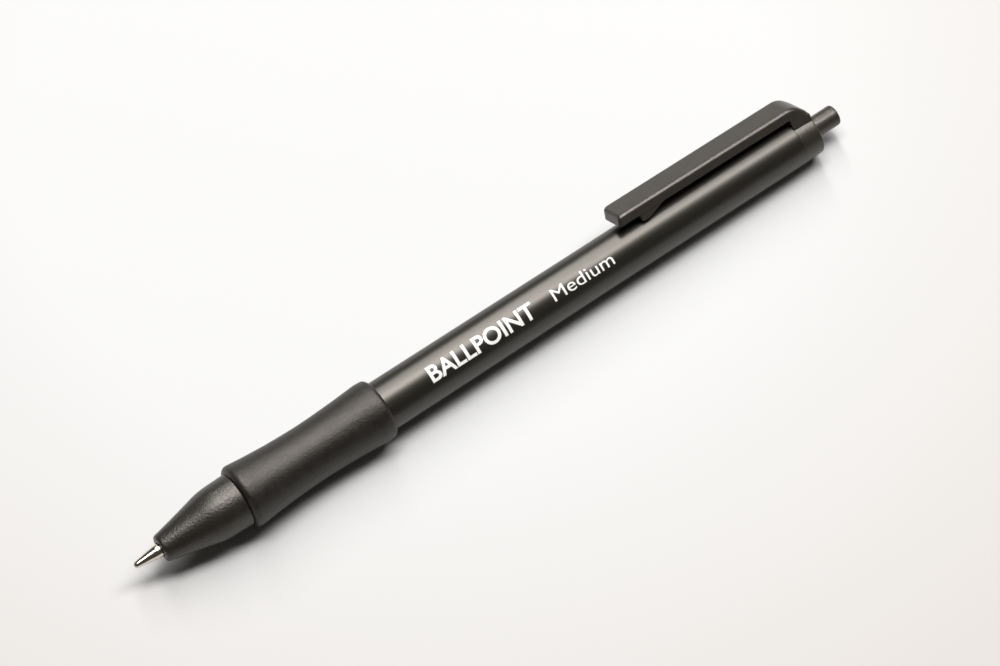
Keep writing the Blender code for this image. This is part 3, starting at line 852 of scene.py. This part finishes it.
def make_print(name, words, front, length, height, thicken):
    """A word printed on the barrel, reading from the point to the button. Its flat letters are
    cut into narrow strips, which bend round the barrel."""
    curve = bpy.data.curves.new(name, "FONT")
    curve.body = words
    curve.offset = thicken
    curve.resolution_u = 6
    text = bpy.data.objects.new(name, curve)
    bpy.context.scene.collection.objects.link(text)
    flat = evaluated_mesh(text)
    bpy.data.objects.remove(text)
    bm = bmesh.new()
    bm.from_mesh(flat)
    bmesh.ops.dissolve_limit(bm, angle_limit=0.01, verts=bm.verts, edges=bm.edges)
    xs = [vert.co.x for vert in bm.verts]
    ys = [vert.co.y for vert in bm.verts]
    wide, tall = max(xs) - min(xs), max(ys) - min(ys)
    for vert in bm.verts:
        vert.co.x = front + (vert.co.x - min(xs)) / wide * length
        vert.co.y = ((vert.co.y - min(ys)) / tall - 0.5) * height
    strips = 16
    for strip in range(1, strips):
        bmesh.ops.bisect_plane(
            bm,
            geom=[*bm.verts, *bm.edges, *bm.faces],
            plane_co=(0, (strip / strips - 0.5) * height, 0),
            plane_no=(0, 1, 0),
        )
    for vert in bm.verts:
        radius = barrel_radius(vert.co.x) + PRINT_RISE
        vert.co = place(vert.co.x, radius, PRINT_ANGLE + vert.co.y / radius)
    mesh = bpy.data.meshes.new(name)
    bm.to_mesh(mesh)
    bm.free()
    piece = finished(name, mesh, PRINT, 60.0)
    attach(piece, "housing")


def dress(node, material):
    """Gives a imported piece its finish."""
    materials = frame["nodes"][node].data.materials
    materials.clear()
    materials.append(material)


make_front_section()
make_grip()
make_barrel()
make_cap_and_clip()
make_button()
make_writing_point()
make_ball()
make_spring()
make_print("word_bold", "BALLPOINT", front=57.2, length=21.1, height=3.0, thicken=0.022)
make_print("word_light", "Medium", front=82.15, length=12.3, height=2.2, thicken=0.0)
for node in ("drive_cam", "index_rotor", "guide_sleeve", "point_holder"):
    dress(node, ACETAL)
dress("refill_tube", CLEAR)
dress("ink_column", INK)


# Floor, light and camera -------------------------------------------------------------------


FLOOR_HALF = 2.5  # metres
FLOOR_PAINTED_LIGHT_SPOT = (12, 45, 0)  # the floor's colour is palest round here, a painted pool of light, in millimetres
FLOOR_PAINTED_LIGHT_RADIUS = 65
FLOOR_PAINTED_FALLOFF_RADIUS = 135
FLOOR_CONTACT_RADIUS = 4.34  # of the pen where its rear end rests

LAMP_HEIGHT = 2.0
LAMP_RADIANCE = 15.9
LAMP_COLOUR = (1.0, 0.985, 0.965)
WORLD_COLOUR = (1.0, 0.92, 0.82)

CAMERA_AZIMUTH = math.radians(-35.97)
CAMERA_ELEVATION = math.radians(62.85)
CAMERA_DISTANCE = 0.743
CAMERA_STATION = 72.41  # the camera looks at this station
CAMERA_DROP = 0.38  # and this many millimetres below the axis, as the picture shows it


def make_floor():
    """Pale paper, tilted a little to touch both the grip's lip and the pen's rear end. Its colour
    is a painted pool of light: palest round a spot, darker and warmer further out.
    """
    make = Maker("paper_painted_light", 0.8)
    # painted pool of light: the floor's colour is lighter round the spot and darker and warmer
    # further away
    away = make.vector_math("DISTANCE", make.position, FLOOR_PAINTED_LIGHT_SPOT, "Value")
    painted_lit_paper, dull = (0.534, 0.540, 0.545), (0.480, 0.464, 0.457)
    make.colour(away, painted_lit_paper, dull, FLOOR_PAINTED_LIGHT_RADIUS, FLOOR_PAINTED_FALLOFF_RADIUS)
    make.bump(make.noise(1.2, detail=3.0, rough=0.6), 0.01)
    make.shader.inputs["Specular IOR Level"].default_value = 0.2
    mesh = bpy.data.meshes.new("paper")
    lip_x = place(GRIP_LIP_STATION, 0, 0).x
    rise = AXIS_Z - FLOOR_CONTACT_RADIUS * MM
    slope = rise / (place(BARREL_END, 0, 0).x - lip_x)
    corners = [
        (side_x * FLOOR_HALF, side_y * FLOOR_HALF)
        for side_x, side_y in ((-1, -1), (1, -1), (1, 1), (-1, 1))
    ]
    verts = [(x, y, slope * (x - lip_x)) for x, y in corners]
    mesh.from_pydata(verts, [], [(0, 1, 2, 3)])
    mesh.materials.append(make.material)
    floor = bpy.data.objects.new("paper", mesh)
    bpy.context.scene.collection.objects.link(floor)


def aim(obj, location, target):
    """Puts obj at location, looking at target."""
    obj.location = location
    obj.rotation_mode = "QUATERNION"
    obj.rotation_quaternion = (Vector(target) - Vector(location)).to_track_quat("-Z", "Y")


def make_light(name, across, behind, size_x, size_y, turn, radiance):
    """A soft flat lamp that faces down, LAMP_HEIGHT above the floor."""
    light = bpy.data.lights.new(name, "AREA")
    light.shape = "RECTANGLE"
    light.size = size_x
    light.size_y = size_y
    light.energy = radiance * math.pi * size_x * size_y
    light.color = LAMP_COLOUR
    lamp = bpy.data.objects.new(name, light)
    lamp.location = (across, behind, LAMP_HEIGHT)
    lamp.rotation_euler.z = turn
    bpy.context.scene.collection.objects.link(lamp)


def make_world(strength):
    """A faint warm glow from all round."""
    world = bpy.data.worlds.new("studio")
    bpy.context.scene.world = world
    world.use_nodes = True
    back = world.node_tree.nodes["Background"]
    back.inputs["Color"].default_value = (*WORLD_COLOUR, 1.0)
    back.inputs["Strength"].default_value = strength


def make_camera():
    """A long lens that looks down on the pen's near side."""
    back = Vector(
        (
            math.sin(CAMERA_AZIMUTH) * math.cos(CAMERA_ELEVATION),
            -math.cos(CAMERA_AZIMUTH) * math.cos(CAMERA_ELEVATION),
            math.sin(CAMERA_ELEVATION),
        )
    )
    upward = back.cross(Vector((1, 0, 0))).normalized()
    target = place(CAMERA_STATION, 0, 0) - CAMERA_DROP * MM * upward
    camera = bpy.data.cameras.new("camera")
    camera.lens = 162
    camera.sensor_width = 36
    camera.clip_start = 0.01
    viewer = bpy.data.objects.new("camera", camera)
    bpy.context.scene.collection.objects.link(viewer)
    aim(viewer, target + back * CAMERA_DISTANCE, target)
    bpy.context.scene.camera = viewer


make_floor()
make_light(
    "overhead_box",
    across=0.598,
    behind=0.154,
    size_x=2.19,
    size_y=0.572,
    turn=-0.325,
    radiance=LAMP_RADIANCE,
)
make_light(
    "rear_box",
    across=0.764,
    behind=1.846,
    size_x=0.464,
    size_y=2.736,
    turn=-0.215,
    radiance=LAMP_RADIANCE * 1.1,
)
make_world(strength=0.06)
make_camera()
bpy.context.scene.view_settings.view_transform = "Standard"
